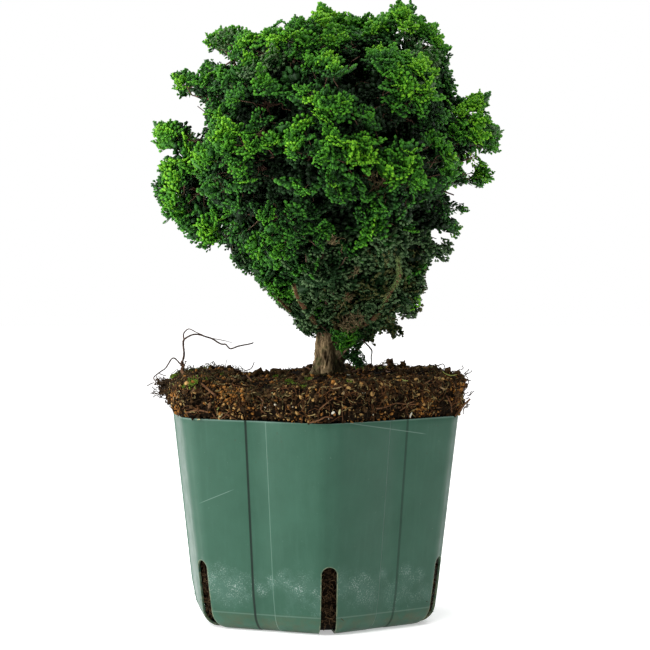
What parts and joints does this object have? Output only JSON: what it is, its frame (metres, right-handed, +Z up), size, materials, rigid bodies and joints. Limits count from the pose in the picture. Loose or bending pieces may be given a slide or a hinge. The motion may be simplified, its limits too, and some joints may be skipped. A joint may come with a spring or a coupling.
{
  "type": "potted dwarf conifer",
  "caption": "Dwarf conifer with a dense rounded crown of flat sprays on a short trunk, rooted in a tall six-sided green nursery pot with slit corners.",
  "frame": {"origin": "middle of the flat underside of the pot, which the plant stands on", "axes": "+Z up along the pot's axis; -Y towards the front of the tree, the side that the picture shows; +X to that viewer's right"},
  "size_m": [0.1807, 0.2006, 0.3235],
  "materials": {
    "pot": "satin dark green plastic with mineral stains",
    "soil": "moist grit, bark and roots",
    "bark": "rough grey-brown bark",
    "foliage": "matt evergreen sprays",
    "dry_stem": "dry wiry stem"
  },
  "bodies": {
    "root": {"bough_back": "bark", "bough_back_foot": "bark", "bough_back_left": "bark", "bough_front": "bark", "bough_front_left": "bark", "bough_front_right": "bark", "bough_left": "bark", "bough_left_front_foot": "bark", "bough_left_high": "bark", "bough_right": "bark", "bough_right_back": "bark", "bough_right_front_foot": "bark", "bough_right_high": "bark", "bough_top_back": "bark", "bough_top_left": "bark", "bough_top_right": "bark", "dry_stem": "dry_stem", "foliage_back_left_high": "foliage", "foliage_back_left_low": "foliage", "foliage_back_left_mid": "foliage", "foliage_back_low": "foliage", "foliage_back_mid": "foliage", "foliage_back_right_high": "foliage", "foliage_back_right_low": "foliage", "foliage_back_right_mid": "foliage", "foliage_back_right_outer": "foliage", "foliage_back_skirt": "foliage", "foliage_back_top": "foliage", "foliage_front_high": "foliage", "foliage_front_left_high": "foliage", "foliage_front_left_low": "foliage", "foliage_front_left_mid": "foliage", "foliage_front_low": "foliage", "foliage_front_mid": "foliage", "foliage_front_right_high": "foliage", "foliage_front_right_low": "foliage", "foliage_front_right_mid": "foliage", "foliage_left_high": "foliage", "foliage_left_low": "foliage", "foliage_left_mid": "foliage", "foliage_left_skirt": "foliage", "foliage_left_under": "foliage", "foliage_right_high": "foliage", "foliage_right_low": "foliage", "foliage_right_mid": "foliage", "foliage_right_skirt": "foliage", "foliage_right_under": "foliage", "foliage_shoulder_left": "foliage", "foliage_shoulder_right": "foliage", "foliage_sprig": "foliage", "foliage_top": "foliage", "foliage_top_left": "foliage", "foliage_top_right": "foliage", "pot": "pot", "root_ball": "soil", "trunk": "bark"}
  },
  "joints": []
}
